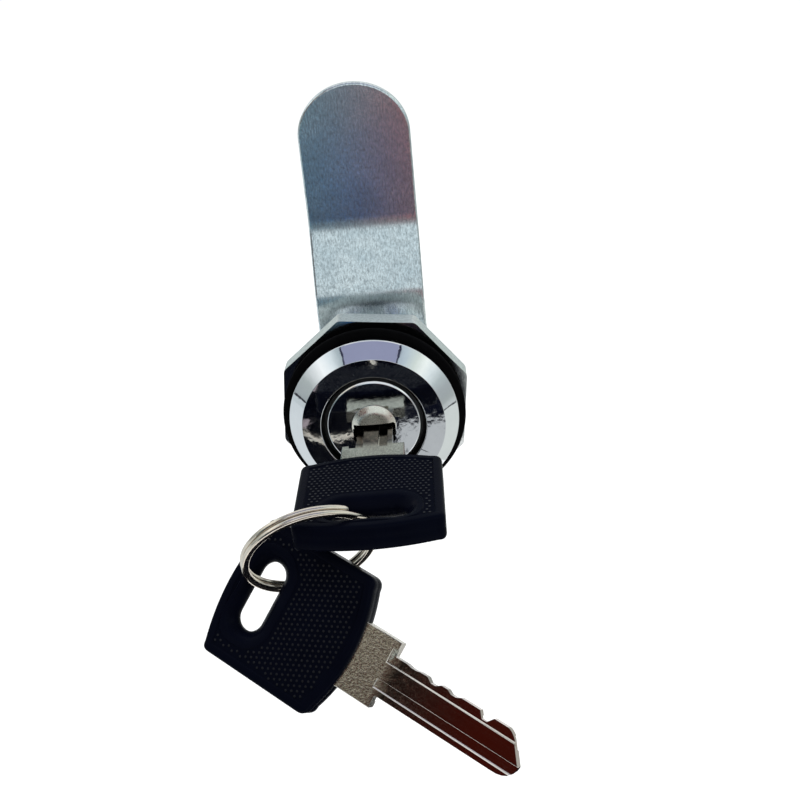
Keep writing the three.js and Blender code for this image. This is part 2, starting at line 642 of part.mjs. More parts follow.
const spareFace = new THREE.Vector3().crossVectors(SPARE_ALONG, SPARE_ACROSS).normalize();
const spareAcross = new THREE.Vector3().crossVectors(spareFace, SPARE_ALONG);
const spare = new THREE.Group();
spare.position.copy(SPARE_POSITION);
spare.quaternion.setFromRotationMatrix(new THREE.Matrix4().makeBasis(SPARE_ALONG, spareAcross, spareFace));
spare.add(part('spare_key_blade', makeBlade(), nickel));
spare.add(part('spare_key_bow', makeBow(), plastic));
lock.add(spare);

export default lock;
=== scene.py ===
"""Looks for a chromed cam lock with two keys on a split ring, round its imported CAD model."""

import math

import bmesh
import bpy
import numpy as np
from mathutils import Matrix, Vector


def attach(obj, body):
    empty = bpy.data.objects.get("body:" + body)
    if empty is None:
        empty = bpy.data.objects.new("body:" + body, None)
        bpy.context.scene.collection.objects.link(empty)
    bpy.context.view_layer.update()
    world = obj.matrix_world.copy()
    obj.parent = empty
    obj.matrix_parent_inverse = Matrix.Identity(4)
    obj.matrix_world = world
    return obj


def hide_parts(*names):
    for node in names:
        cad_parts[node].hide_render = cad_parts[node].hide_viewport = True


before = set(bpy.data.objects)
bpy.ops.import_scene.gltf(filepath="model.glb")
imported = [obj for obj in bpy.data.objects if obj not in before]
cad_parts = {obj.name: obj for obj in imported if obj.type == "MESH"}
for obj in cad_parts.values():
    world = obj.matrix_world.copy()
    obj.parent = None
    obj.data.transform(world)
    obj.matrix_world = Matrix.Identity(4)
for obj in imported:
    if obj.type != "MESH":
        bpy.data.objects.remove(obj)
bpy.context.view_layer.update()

MM = 0.001
TURN = 2 * math.pi

# ------------------------------------------------------------------ sizes, in millimetres

RIM_R = 14.0
FACE_R = 11.7
POCKET_R = 8.62
FACE_Y = -5.4
CONE_BACK_Y = -2.7
FLANGE_BACK_Y = -1.3
POCKET_FLOOR_Y = -3.1
BARREL_END_Y = 17.6
THREAD_CREST_R = 10.9
THREAD_DEPTH = 0.85
THREAD_PITCH = 1.5
THREAD_ROWS = 128
BARREL_CHAMFER = 0.7
FLAT_Z = 9.9
BORE_R = 7.35
BROACH_X = 8.4
BROACH_LOW_Z = 5.2
BROACH_HIGH_Z = 3.0
STOP_Y = 15.9
STOP_FROM = math.radians(-147)
STOP_TO = math.radians(-33)

GASKET_HOLE_R = 11.2
GASKET_R = 15.2

NUT_HALF_FLATS = 15.3
NUT_HOLE_R = 11.1
NUT_FACE_R = 15.0
NUT_CORNER_R = 16.45
NUT_FRONT_Y = 2.2
NUT_BACK_Y = 6.3
NUT_SLOPE = 0.08
NUT_HOLE_CHAMFER = 0.7
NUT_THREAD_DEPTH = 0.7
NUT_THREAD_ROWS = 34
NUT_FLAT_ANGLE = math.radians(83.7)

PLUG_FACE_Y = -5.0
PLUG_FLAT_R = 7.5
HEAD_R = 8.2
HEAD_BACK_Y = -3.4
PLUG_R = 7.2
PLUG_END_Y = 17.3
DISH_R = 3.55
DISH_FLOOR_R = 2.5
DISH_DEPTH = 1.1
COLLAR_HEIGHT = 0.7
DISH_SLOT = (-3.3, 3.3, -3.0, 0.5)          # x and z of the cut across the dish
DRIVE_HALF = 4.0
DRIVE_CORNER_R = 5.3
DRIVE_END_Y = 21.2
SCREW_HOLE_R = 2.1
SCREW_HOLE_DEPTH = 7
KEY_Z = -1.1
KEYWAY_END_Y = 10.1
FIRST_WAFER_Y = -2.2
WAFER_PITCH = 2.6
WAFERS = 5
CHAMBER_HALF = 0.65
CHAMBER_Z = (-5.05, 2.85)
SPRING_POCKET_X = 2.8
SPRING_POCKET_Z = (2.7, 4.35)
AXIS_R = 1e-4               # radius that closes a turned piece on its axis

BOW_HALF_THICKNESS = 2.0
BOW_HALF_WIDTH = 10.7
BOW_FRONT_X = 20.8
BOW_FRONT_CORNER_X = 19.1
BOW_REAR_BULGE = 1.3
SLOT_X = 4.1
SLOT_HALF_WIDTH = 2.1
SLOT_HALF_LENGTH = 5.4
BOW_FRONT_RADIUS = 1.6      # corners next to the blade
BOW_REAR_RADIUS = 1.2       # corners next to the slot
PANEL_SINK = 0.13           # how far the stippled panel lies below the bow's smooth border
STUD_PITCH = 0.78
STUD_SIDES = 8
STUD_MARGIN = 0.35          # kept free between the studs and the panel's border
STUD_PROFILE = ((0.27, -0.04), (0.19, 0.07))    # radius and height over the panel
STUD_TIP = 0.10

RING_CENTRE = Vector((-9.0, -34.1, -5.2))
RING_NORMAL = Vector((-0.253, 0.841, 0.479)).normalized()
RING_R = 9.35
RING_HALF_RADIAL = 0.55
RING_HALF_COIL = 0.39
RING_PITCH = 0.86
RING_START = math.radians(163)
RING_JOG = math.radians(34)
RING_GAP = math.radians(3)
RING_STEPS = 380
RING_CORNERS = 14
RING_SQUARENESS = 0.62      # below 1, the wire's section is squarer than an ellipse
RING_END_SCALE = (0.72, 0.93, 1.0)

KEY_PLACE = Matrix.Translation((0, -38 * MM, KEY_Z * MM)) @ Matrix.Rotation(math.pi / 2, 4, "Z")
SPARE_POSITION = Vector((-19.94, -31.55, -11.31))
SPARE_ALONG = Vector((0.796, -0.521, -0.308)).normalized()
SPARE_FACE = SPARE_ALONG.cross(Vector((0.543, 0.39, 0.744))).normalized()
SPARE_PLACE = Matrix.Translation(SPARE_POSITION * MM) @ Matrix(
    (SPARE_ALONG, SPARE_FACE.cross(SPARE_ALONG), SPARE_FACE)
).transposed().to_4x4()


# ------------------------------------------------------------------ materials

class Shader:
    """A principled material with short calls for the nodes that vary it."""

    def __init__(self, name, metallic=0.0):
        self.material = bpy.data.materials.new(name)
        self.material.use_nodes = True
        self.nodes = self.material.node_tree.nodes
        self.links = self.material.node_tree.links
        self.bsdf = self.nodes["Principled BSDF"]
        place = self.nodes.new("ShaderNodeTexCoord")
        scale = self.nodes.new("ShaderNodeMapping")
        scale.inputs["Scale"].default_value = (1 / MM,) * 3
        self.links.new(place.outputs["Object"], scale.inputs["Vector"])
        self.millimetres = scale.outputs["Vector"]
        self.set("Metallic", metallic)

    def stretched(self, factors):
        node = self.nodes.new("ShaderNodeVectorMath")
        node.operation = "MULTIPLY"
        self.links.new(self.millimetres, node.inputs[0])
        node.inputs[1].default_value = factors
        return node.outputs[0]

    def noise(self, scale, detail=3.0, roughness=0.5, stretch=None, distortion=0.0):
        node = self.nodes.new("ShaderNodeTexNoise")
        node.inputs["Scale"].default_value = scale
        node.inputs["Detail"].default_value = detail
        node.inputs["Roughness"].default_value = roughness
        node.inputs["Distortion"].default_value = distortion
        vector = self.stretched(stretch) if stretch else self.millimetres
        self.links.new(vector, node.inputs["Vector"])
        return node.outputs["Fac"]

    def spots(self, scale):
        node = self.nodes.new("ShaderNodeTexVoronoi")
        node.inputs["Scale"].default_value = scale
        self.links.new(self.millimetres, node.inputs["Vector"])
        return node.outputs["Distance"]

    def remap(self, value, low, high, to_low, to_high):
        node = self.nodes.new("ShaderNodeMapRange")
        self.links.new(value, node.inputs["Value"])
        ends = {"From Min": low, "From Max": high, "To Min": to_low, "To Max": to_high}
        for key, number in ends.items():
            node.inputs[key].default_value = number
        return node.outputs["Result"]

    def axis(self, index):
        node = self.nodes.new("ShaderNodeSeparateXYZ")
        self.links.new(self.millimetres, node.inputs[0])
        return node.outputs[index]

    def math(self, operation, a, b):
        node = self.nodes.new("ShaderNodeMath")
        node.operation = operation
        for value, socket in ((a, node.inputs[0]), (b, node.inputs[1])):
            if isinstance(value, (int, float)):
                socket.default_value = value
            else:
                self.links.new(value, socket)
        return node.outputs[0]

    def mixed(self, factor, a, b):
        node = self.nodes.new("ShaderNodeMix")
        node.data_type = "RGBA"
        self.links.new(factor, node.inputs["Factor"])
        for value, socket in ((a, node.inputs[6]), (b, node.inputs[7])):
            if isinstance(value, tuple):
                socket.default_value = (*value, 1)
            else:
                self.links.new(value, socket)
        return node.outputs[2]

    def set(self, name, value):
        socket = self.bsdf.inputs[name]
        if isinstance(value, (int, float)):
            socket.default_value = value
        elif isinstance(value, tuple):
            socket.default_value = (*value, 1)
        else:
            self.links.new(value, socket)

    def bump(self, height, distance):
        """Adds relief, in millimetres, on top of any relief added before."""
        node = self.nodes.new("ShaderNodeBump")
        node.inputs["Distance"].default_value = distance * MM
        self.links.new(height, node.inputs["Height"])
        socket = self.bsdf.inputs["Normal"]
        if socket.is_linked:
            self.links.new(socket.links[0].from_socket, node.inputs["Normal"])
        self.links.new(node.outputs["Normal"], socket)


def chrome_material():
    s = Shader("chrome_plating", metallic=1.0)
    haze = s.noise(0.35, 4.0)
    s.set("Base Color", s.mixed(haze, (0.74, 0.76, 0.79), (0.84, 0.86, 0.88)))
    smudge = s.remap(s.noise(0.9, 5.0, 0.6), 0.35, 0.75, 0.025, 0.085)
    dust = s.remap(s.spots(2.2), 0.0, 0.09, 0.16, 0.0)
    s.set("Roughness", s.math("ADD", smudge, dust))
    s.bump(s.noise(0.5, 2.0), 0.02)
    s.bump(s.noise(5.0, 3.0), 0.0012)
    return s.material


def zinc_material(name, base, light, grain, rough, relief, shade=0.8):
    """Bright zinc plating, with a grain that runs the way it is stretched."""
    s = Shader(name, metallic=1.0)
    blotch = s.noise(0.16, 4.0, 0.6, distortion=0.4)
    fine = s.noise(1.0, 6.0, 0.7, stretch=grain)
    colour = s.mixed(s.remap(blotch, 0.3, 0.7, 0.0, 1.0), base, light)
    speckle = s.noise(2.6, 5.0, 0.8)
    streak = s.remap(s.math("ADD", fine, s.math("MULTIPLY", speckle, 0.6)), 0.68, 1.02, 0.0, 1.0)
    s.set("Base Color", s.mixed(streak, colour, tuple(c * shade for c in base)))
    s.set("Roughness", s.math(
        "ADD",
        s.remap(fine, 0.3, 0.7, *rough),
        s.remap(speckle, 0.55, 0.75, 0.0, 0.06),
    ))
    s.bump(fine, relief)
    s.bump(speckle, relief * 0.3)
    return s.material


def painted_shade_cavity_material():
    """Painted shade for the pocket, bore, keyway and the plug behind its face: near-black dull
    zinc, mottled, standing in for the shade inside these recesses.
    """
    s = Shader("dull_cavity_painted_shade", metallic=1.0)
    mottled_shade = s.noise(1.5, 4.0, 0.6)
    s.set("Base Color", s.mixed(mottled_shade, (0.018, 0.018, 0.020), (0.06, 0.058, 0.055)))
    s.set("Roughness", s.remap(s.noise(3.0, 3.0), 0.3, 0.7, 0.4, 0.6))
    s.bump(s.noise(5.0, 3.0), 0.01)
    return s.material


def nickel_material(name, base, rough, waviness):
    s = Shader(name, metallic=1.0)
    tarnish = s.remap(s.noise(0.5, 4.0, 0.6), 0.3, 0.7, 0.0, 1.0)
    s.set("Base Color", s.mixed(tarnish, base, tuple(c * 0.82 for c in base)))
    fine = s.noise(4.0, 4.0, 0.6)
    s.set("Roughness", s.remap(fine, 0.3, 0.7, rough * 0.7, rough * 1.4))
    s.bump(s.noise(1.2, 3.0), waviness)
    s.bump(fine, waviness * 0.3)
    return s.material


def blade_material():
    """Nickel on brass, with a shoulder pebbled by the die and a blade milled along its length."""
    s = Shader("key_nickel", metallic=1.0)
    along = s.axis(0)
    milled = s.remap(along, 25.6, 27.4, 0.0, 1.0)
    worn = s.remap(along, 26.6, 41.0, 1.0, 0.0)
    stain = s.remap(s.noise(1.4, 6.0, 0.75), 0.34, 0.52, 0.35, 1.0)
    tarnish = s.math("MULTIPLY", stain, worn)
    blade = s.mixed(tarnish, (0.33, 0.265, 0.225), (0.03, 0.03, 0.028))
    lines = s.noise(1.0, 4.0, 0.5, stretch=(0.15, 5.0, 5.0))
    pebbles = s.noise(1.0, 3.0, 0.6, stretch=(2.6, 4.4, 4.4), distortion=0.3)
    raised = s.remap(pebbles, 0.35, 0.65, 0.0, 1.0)
    shoulder = s.mixed(raised, (0.34, 0.325, 0.265), (0.56, 0.535, 0.45))
    s.set("Base Color", s.mixed(milled, shoulder, blade))
    rough_shoulder = s.remap(pebbles, 0.3, 0.7, 0.14, 0.24)
    rough_blade = s.math(
        "ADD", s.remap(lines, 0.3, 0.7, 0.06, 0.11), s.math("MULTIPLY", worn, 0.09)
    )
    keep = s.math("SUBTRACT", 1.0, milled)
    s.set("Roughness", s.math(
        "ADD", s.math("MULTIPLY", rough_shoulder, keep), s.math("MULTIPLY", rough_blade, milled)
    ))
    pebbled = s.math("MAXIMUM", keep, s.math("MULTIPLY", worn, 0.4))
    s.bump(s.math("MULTIPLY", pebbles, pebbled), 0.05)
    s.bump(s.math("MULTIPLY", lines, milled), 0.006)
    s.bump(s.math("MULTIPLY", s.noise(3.0, 3.0), milled), 0.008)
    return s.material


def plastic_material(name, low, high, relief, specular):
    s = Shader(name)
    cloud = s.noise(0.25, 3.0)
    s.set("Base Color", s.mixed(cloud, (0.0010, 0.0014, 0.0038), (0.0018, 0.0024, 0.0064)))
    scuff = s.noise(1.4, 6.0, 0.7)
    s.set("Roughness", s.remap(scuff, 0.3, 0.7, low, high))
    s.set("Specular IOR Level", specular)
    s.bump(s.noise(7.0, 3.0, 0.6), relief)
    return s.material


def rubber_material():
    s = Shader("black_rubber")
    bloom = s.noise(0.7, 4.0)
    s.set("Base Color", s.mixed(bloom, (0.0012, 0.0012, 0.0014), (0.003, 0.003, 0.0034)))
    s.set("Roughness", s.remap(s.noise(2.0, 4.0), 0.3, 0.7, 0.65, 0.85))
    s.set("Specular IOR Level", 0.01)
    s.bump(s.noise(6.0, 4.0, 0.6), 0.02)
    return s.material


CHROME = chrome_material()
CAM_ZINC = zinc_material(
    "cam_zinc", (0.66, 0.75, 0.79), (0.90, 0.95, 0.96), (3.8, 3.8, 1.0), (0.14, 0.24), 0.004, 0.5
)
# A darker copy of the nut's zinc for its front face; the darker colour is painted shade.
NUT_FACE_SHADED = zinc_material(
    "nut_face_zinc_painted_shade", (0.56, 0.58, 0.58), (0.70, 0.71, 0.70), (1.6, 1.6, 1.6), (0.06, 0.11), 0.002
)
NUT_ZINC = zinc_material(
    "nut_zinc", (0.72, 0.76, 0.75), (0.86, 0.90, 0.88), (2.2, 2.2, 2.2), (0.34, 0.46), 0.01, 0.7
)
SCREW_ZINC = zinc_material(
    "screw_zinc", (0.60, 0.62, 0.62), (0.74, 0.75, 0.74), (2.0, 2.0, 2.0), (0.2, 0.34), 0.01
)
RING_NICKEL = nickel_material("ring_nickel", (0.80, 0.72, 0.62), 0.14, 0.02)
SPRING_STEEL = nickel_material("spring_steel", (0.45, 0.45, 0.46), 0.25, 0.01)
BRASS = nickel_material("stamped_brass", (0.72, 0.55, 0.26), 0.3, 0.02)
COLLAR = nickel_material("keyway_collar", (0.90, 0.87, 0.77), 0.3, 0.012)
BLADE = blade_material()
# Far brighter than the blade's nickel: a painted highlight for the bevelled long edges of the
# keys.
MILLED_EDGE_HIGHLIGHT = nickel_material("milled_edge_painted_highlight", (0.90, 0.85, 0.78), 0.2, 0.01)
BOW_PANEL = plastic_material("bow_stippled", 0.4, 0.55, 0.01, 0.008)
BOW_STUD = plastic_material("bow_stud_tips", 0.35, 0.5, 0.01, 0.24)
BOW_SMOOTH = plastic_material("bow_smooth", 0.2, 0.34, 0.003, 0.014)
RUBBER = rubber_material()
# Painted shade for the recesses: the housing's pocket and bore, the plug's side, and the walls
# cut by the keyway and chambers.
CAVITY_SHADE = painted_shade_cavity_material()


# ------------------------------------------------------------------ mesh helpers

def finish_mesh(mesh, sharp):
    """Merges doubles, turns the faces out and marks the edges that stay sharp."""
    work = bmesh.new()
    work.from_mesh(mesh)
    bmesh.ops.remove_doubles(work, verts=work.verts, dist=1e-7)
    bmesh.ops.dissolve_degenerate(work, dist=1e-8, edges=work.edges)
    bmesh.ops.recalc_face_normals(work, faces=work.faces)
    work.to_mesh(mesh)
    work.free()
    mesh.shade_smooth()
    mesh.set_sharp_from_angle(angle=math.radians(sharp))


def piece(
    name, verts, faces, body, materials, replaces=(), place=None, looks=None, sharp=40
):
    """A mesh in millimetres as a piece that rides on a body and stands for CAD nodes."""
    mesh = bpy.data.meshes.new(name)
    mesh.from_pydata([tuple(c * MM for c in v) for v in verts], [], faces)
    for material in materials:
        mesh.materials.append(material)
    if looks is not None:
        mesh.polygons.foreach_set("material_index", looks)
    finish_mesh(mesh, sharp)
    return settle(name, mesh, body, replaces, place)


def weight_normals(made):
    """Keeps the shading of large faces flat next to small rounded edges."""
    normals = made.modifiers.new("face_normals", "WEIGHTED_NORMAL")
    normals.keep_sharp = True
    normals.weight = 90


def settle(name, mesh, body, replaces=(), place=None):
    """Puts a finished mesh on its body and hides the CAD nodes that it replaces."""
    made = bpy.data.objects.new(name, mesh)
    bpy.context.scene.collection.objects.link(made)
    if place is not None:
        made.matrix_world = place
    weight_normals(made)
    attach(made, body)
    if replaces:
        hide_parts(*replaces)
    return made


def carve(made, tools, sharp):
    """Cuts the meshes of temporary objects out of a piece."""
    made.modifiers.remove(made.modifiers["face_normals"])
    for tool in tools:
        cut = made.modifiers.new("cut", "BOOLEAN")
        cut.operation = "DIFFERENCE"
        cut.solver = "EXACT"
        cut.material_mode = "TRANSFER"
        cut.object = tool
    bpy.context.view_layer.update()
    graph = bpy.context.evaluated_depsgraph_get()
    mesh = bpy.data.meshes.new_from_object(made.evaluated_get(graph))
    made.modifiers.clear()
    made.data = mesh
    for tool in tools:
        bpy.data.objects.remove(tool)
    finish_mesh(mesh, sharp)
    weight_normals(made)


def cutter(outline, y0, y1):
    """A prism along Y whose outline is drawn in X and Z."""
    count = len(outline)
    verts = [(x * MM, y * MM, z * MM) for y in (y0, y1) for x, z in outline]
    sides = [(i, (i + 1) % count, (i + 1) % count + count, i + count) for i in range(count)]
    ends = [tuple(range(count)), tuple(range(2 * count - 1, count - 1, -1))]
    mesh = bpy.data.meshes.new("cutter")
    mesh.from_pydata(verts, [], sides + ends)
    work = bmesh.new()
    work.from_mesh(mesh)
    bmesh.ops.recalc_face_normals(work, faces=work.faces)
    work.to_mesh(mesh)
    work.free()
    # The cut walls take this material, the painted shade of the recesses.
    mesh.materials.append(CAVITY_SHADE)
    made = bpy.data.objects.new("cutter", mesh)
    bpy.context.scene.collection.objects.link(made)
    made.hide_render = True
    return made


def rectangle(x0, x1, z0, z1):
    return [(x0, z0), (x1, z0), (x1, z1), (x0, z1)]


def rounded(points):
    """Rounds the corners of a profile of (radius, y, corner size) by short quadratic curves."""
    steps = 4
    result = []
    count = len(points)
    for i, (r, y, size) in enumerate(points):
        here = Vector((r, y))
        if not size:
            result.append((r, y))
            continue
        before = Vector(points[i - 1][:2]) - here
        after = Vector(points[(i + 1) % count][:2]) - here
        start = here + before.normalized() * size
        end = here + after.normalized() * size
        for k in range(steps + 1):
            t = k / steps
            p = start * (1 - t) ** 2 + here * 2 * t * (1 - t) + end * t ** 2
            result.append((p.x, p.y))
    return result


def revolved(rows, angles, closed=True):
    """Vertices and faces of a body turned about Y.

    A row is an (r, y) pair or a function of the angle.
    """
    columns = len(angles)
    verts = []
    for row in rows:
        for angle in angles:
            r, y = row(angle) if callable(row) else row
            verts.append((r * math.cos(angle), y, r * math.sin(angle)))
    faces = []
    for i in range(len(rows) if closed else len(rows) - 1):
        j = (i + 1) % len(rows)
        for k in range(columns):
            m = (k + 1) % columns
            faces.append((i * columns + k, i * columns + m, j * columns + m, j * columns + k))
    return verts, faces


def circle(steps):
    """Angles of the columns of a turned piece."""
    return [TURN * k / steps for k in range(steps)]


def refined(
    node, body, material, width, steps=2, place=None, sharp=40, name=None, milled=0
):
    """The CAD node's own shape with its sharp edges rounded.

    Where a width is given for milled edges, the long edges get it and a much brighter material of
    their own, a painted highlight along them.
    """
    crease = math.radians(28)
    flat = math.radians(0.5)
    long_edge, short_edge, endless = 8, 7.9, 100
    short_width = 0.06
    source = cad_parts[node]
    work = bmesh.new()
    work.from_mesh(source.data)
    bmesh.ops.remove_doubles(work, verts=work.verts, dist=1e-7)
    bmesh.ops.dissolve_limit(work, angle_limit=flat, verts=work.verts, edges=work.edges)

    def corners(shortest, longest):
        return [
            e for e in work.edges
            if len(e.link_faces) == 2 and e.calc_face_angle(0) > crease
            and shortest * MM < e.calc_length() < longest * MM
        ]

    if milled:
        bmesh.ops.bevel(
            work, geom=corners(long_edge, endless), offset=milled * MM, offset_type="OFFSET",
            segments=1, profile=0.5, affect="EDGES", clamp_overlap=False, material=1,
        )
        width = min(width, short_width)
    bmesh.ops.bevel(
        work, geom=corners(0, short_edge if milled else endless), offset=width * MM,
        offset_type="OFFSET", segments=steps, profile=0.5, affect="EDGES", clamp_overlap=True,
    )
    if place is not None:
        bmesh.ops.transform(work, matrix=place.inverted(), verts=work.verts)
    bmesh.ops.triangulate(work, faces=[f for f in work.faces if len(f.verts) > 4])
    mesh = bpy.data.meshes.new(node + "_shape")
    work.to_mesh(mesh)
    work.free()
    mesh.materials.append(material)
    if milled:
        mesh.materials.append(MILLED_EDGE_HIGHLIGHT)
    finish_mesh(mesh, sharp)
    return settle(name or node + "_finish", mesh, body, (node,), place)


# ------------------------------------------------------------------ housing, gasket and nut

def flatted(radius, angle):
    """The radius, cut down to the barrel's two flats."""
    return min(radius, FLAT_Z / max(abs(math.sin(angle)), 1e-6))


def thread(y, angle, root, depth):
    """Radius of a right-hand thread with narrow crests and roots."""
    phase = (y / THREAD_PITCH + angle / TURN) % 1
    height = min(max((1 - abs(2 * phase - 1)) * 1.5 - 0.25, 0), 1)
    return root + depth * height


def stop_wall(angle):
    """Where the barrel ends: it is lower over the recess that the stop washer's tab moves in."""
    wrapped = (angle + math.pi) % TURN - math.pi
    return STOP_Y if STOP_FROM < wrapped < STOP_TO else BARREL_END_Y


def bore(angle):
    """Radius of the bore with the broached way that the wafers drop into."""
    limit = BROACH_HIGH_Z if math.sin(angle) > 0 else BROACH_LOW_Z
    reach = min(
        BROACH_X / max(abs(math.cos(angle)), 1e-6), limit / max(abs(math.sin(angle)), 1e-6)
    )
    return max(BORE_R, reach)


def barrel_row(share):
    """A row of the threaded barrel, at a share of the way from its flange to its end."""
    def row(angle):
        end = stop_wall(angle)
        y = FLANGE_BACK_Y + (end - FLANGE_BACK_Y) * share
        crest = thread(y, angle, THREAD_CREST_R - THREAD_DEPTH, THREAD_DEPTH)
        chamfer = THREAD_CREST_R - BARREL_CHAMFER + (BARREL_END_Y - y)
        return min(flatted(crest, angle), chamfer), y
    return row


def build_housing():
    front = rounded([
        (POCKET_R, FACE_Y, 0.12),
        (FACE_R, FACE_Y, 0.05),
        (RIM_R, CONE_BACK_Y, 0.22),
        (RIM_R, FLANGE_BACK_Y, 0.2),
        (THREAD_CREST_R - THREAD_DEPTH, FLANGE_BACK_Y, 0),
        (BORE_R, POCKET_FLOOR_Y, 0),
        (POCKET_R, POCKET_FLOOR_Y, 0),
    ])
    outside = [barrel_row(k / THREAD_ROWS) for k in range(1, THREAD_ROWS + 1)]
    chambers = FIRST_WAFER_Y - CHAMBER_HALF
    inside = [
        lambda angle: (bore(angle) + 0.25, stop_wall(angle)),
        lambda angle: (bore(angle), stop_wall(angle) - 0.25),
        lambda angle: (bore(angle), chambers),
        lambda angle: (BORE_R, chambers),
    ]
    rows = front[:-2] + outside + inside + front[-2:]
    # Two columns close together at each end of the recess keep its walls upright.
    step = math.radians(0.02)
    angles = circle(216) + [a % TURN + d for a in (STOP_FROM, STOP_TO) for d in (-step, step)]
    verts, faces = revolved(rows, sorted(angles))
    # The rows from here on, the pocket's wall and floor and the bore, take the cavity material's
    # painted shade.
    unshaded_rows = len(rows) - len(inside) - 2
    looks = [0 if i < unshaded_rows else 1 for i in range(len(rows)) for _ in angles]
    piece(
        "housing_shell", verts, faces, "housing", [CHROME, CAVITY_SHADE], ("housing",),
        looks=looks, sharp=24,
    )


def build_gasket():
    profile = rounded([
        (GASKET_HOLE_R, -1.0, 0.2),
        (GASKET_R, -1.0, 0.35),
        (GASKET_R, 0.0, 0.35),
        (GASKET_HOLE_R, 0.0, 0.2),
    ])
    verts, faces = revolved(profile, circle(160))
    piece("gasket_ring", verts, faces, "housing", [RUBBER], ("gasket",))


def nut_radius(angle):
    """Radius of the octagon with its corners turned off."""
    side = TURN / 8
    within = (angle - NUT_FLAT_ANGLE + side / 2) % side - side / 2
    return min(NUT_HALF_FLATS / math.cos(within), NUT_CORNER_R)


def build_nut():
    middle = (NUT_FRONT_Y + NUT_BACK_Y) / 2

    def chamfer(share, front):
        def row(angle):
            r = NUT_FACE_R + (nut_radius(angle) - NUT_FACE_R) * share
            y = NUT_FRONT_Y + NUT_SLOPE * max(r - NUT_FACE_R, 0)
            return r, y if front else 2 * middle - y
        return row

    def hole(share):
        def row(angle):
            length = NUT_FRONT_Y + 2 * NUT_HOLE_CHAMFER - NUT_BACK_Y
            y = NUT_BACK_Y - NUT_HOLE_CHAMFER + length * share
            return thread(y, angle, NUT_HOLE_R, NUT_THREAD_DEPTH), y
        return row

    def edge(y, towards):
        """The rim where the side begins, a little inside the chamfered face."""
        return lambda a: (
            nut_radius(a), y + towards * (NUT_SLOPE * (nut_radius(a) - NUT_FACE_R) + 0.12)
        )

    def front_face(r, drop):
        return (r, NUT_FRONT_Y + drop)

    def back_face(r, drop):
        return (r, NUT_BACK_Y - drop)

    outside = [
        front_face(NUT_HOLE_R + 0.8, 0.0), front_face(NUT_FACE_R - 0.15, 0.0),
        front_face(NUT_FACE_R, 0.01),
        chamfer(0.5, True), chamfer(0.9, True), chamfer(1.0, True),
        edge(NUT_FRONT_Y, 1), edge(NUT_BACK_Y, -1),
        chamfer(1.0, False), chamfer(0.9, False), chamfer(0.5, False),
        back_face(NUT_FACE_R, 0.01), back_face(NUT_FACE_R - 0.15, 0.0),
        back_face(NUT_HOLE_R + 0.8, 0.0),
    ]
    rows = outside + [hole(k / NUT_THREAD_ROWS) for k in range(NUT_THREAD_ROWS + 1)]
    angles = circle(320)
    verts, faces = revolved(rows, angles)
    # The front face and the inner part of its chamfer take the darker copy, a painted shade.
    looks = [1 if i < 5 else 0 for i in range(len(rows)) for _ in angles]
    piece(
        "octagon_nut", verts, faces, "nut", [NUT_ZINC, NUT_FACE_SHADED],
        ("mounting_nut",), looks=looks, sharp=22,
    )


# ------------------------------------------------------------------ plug

def keyway_outline():
    """The keyway seen from the front: a Z section, equal when turned half round."""
    half = [
        (3.5, 1.35), (2.1, 1.35), (2.1, 0.65), (0.95, 0.65),
        (0.95, 1.35), (-1.75, 1.35), (-1.75, 0.85), (-3.5, 0.85),
    ]
    return [(x, z + KEY_Z) for x, z in half] + [(-x, -z + KEY_Z) for x, z in half]


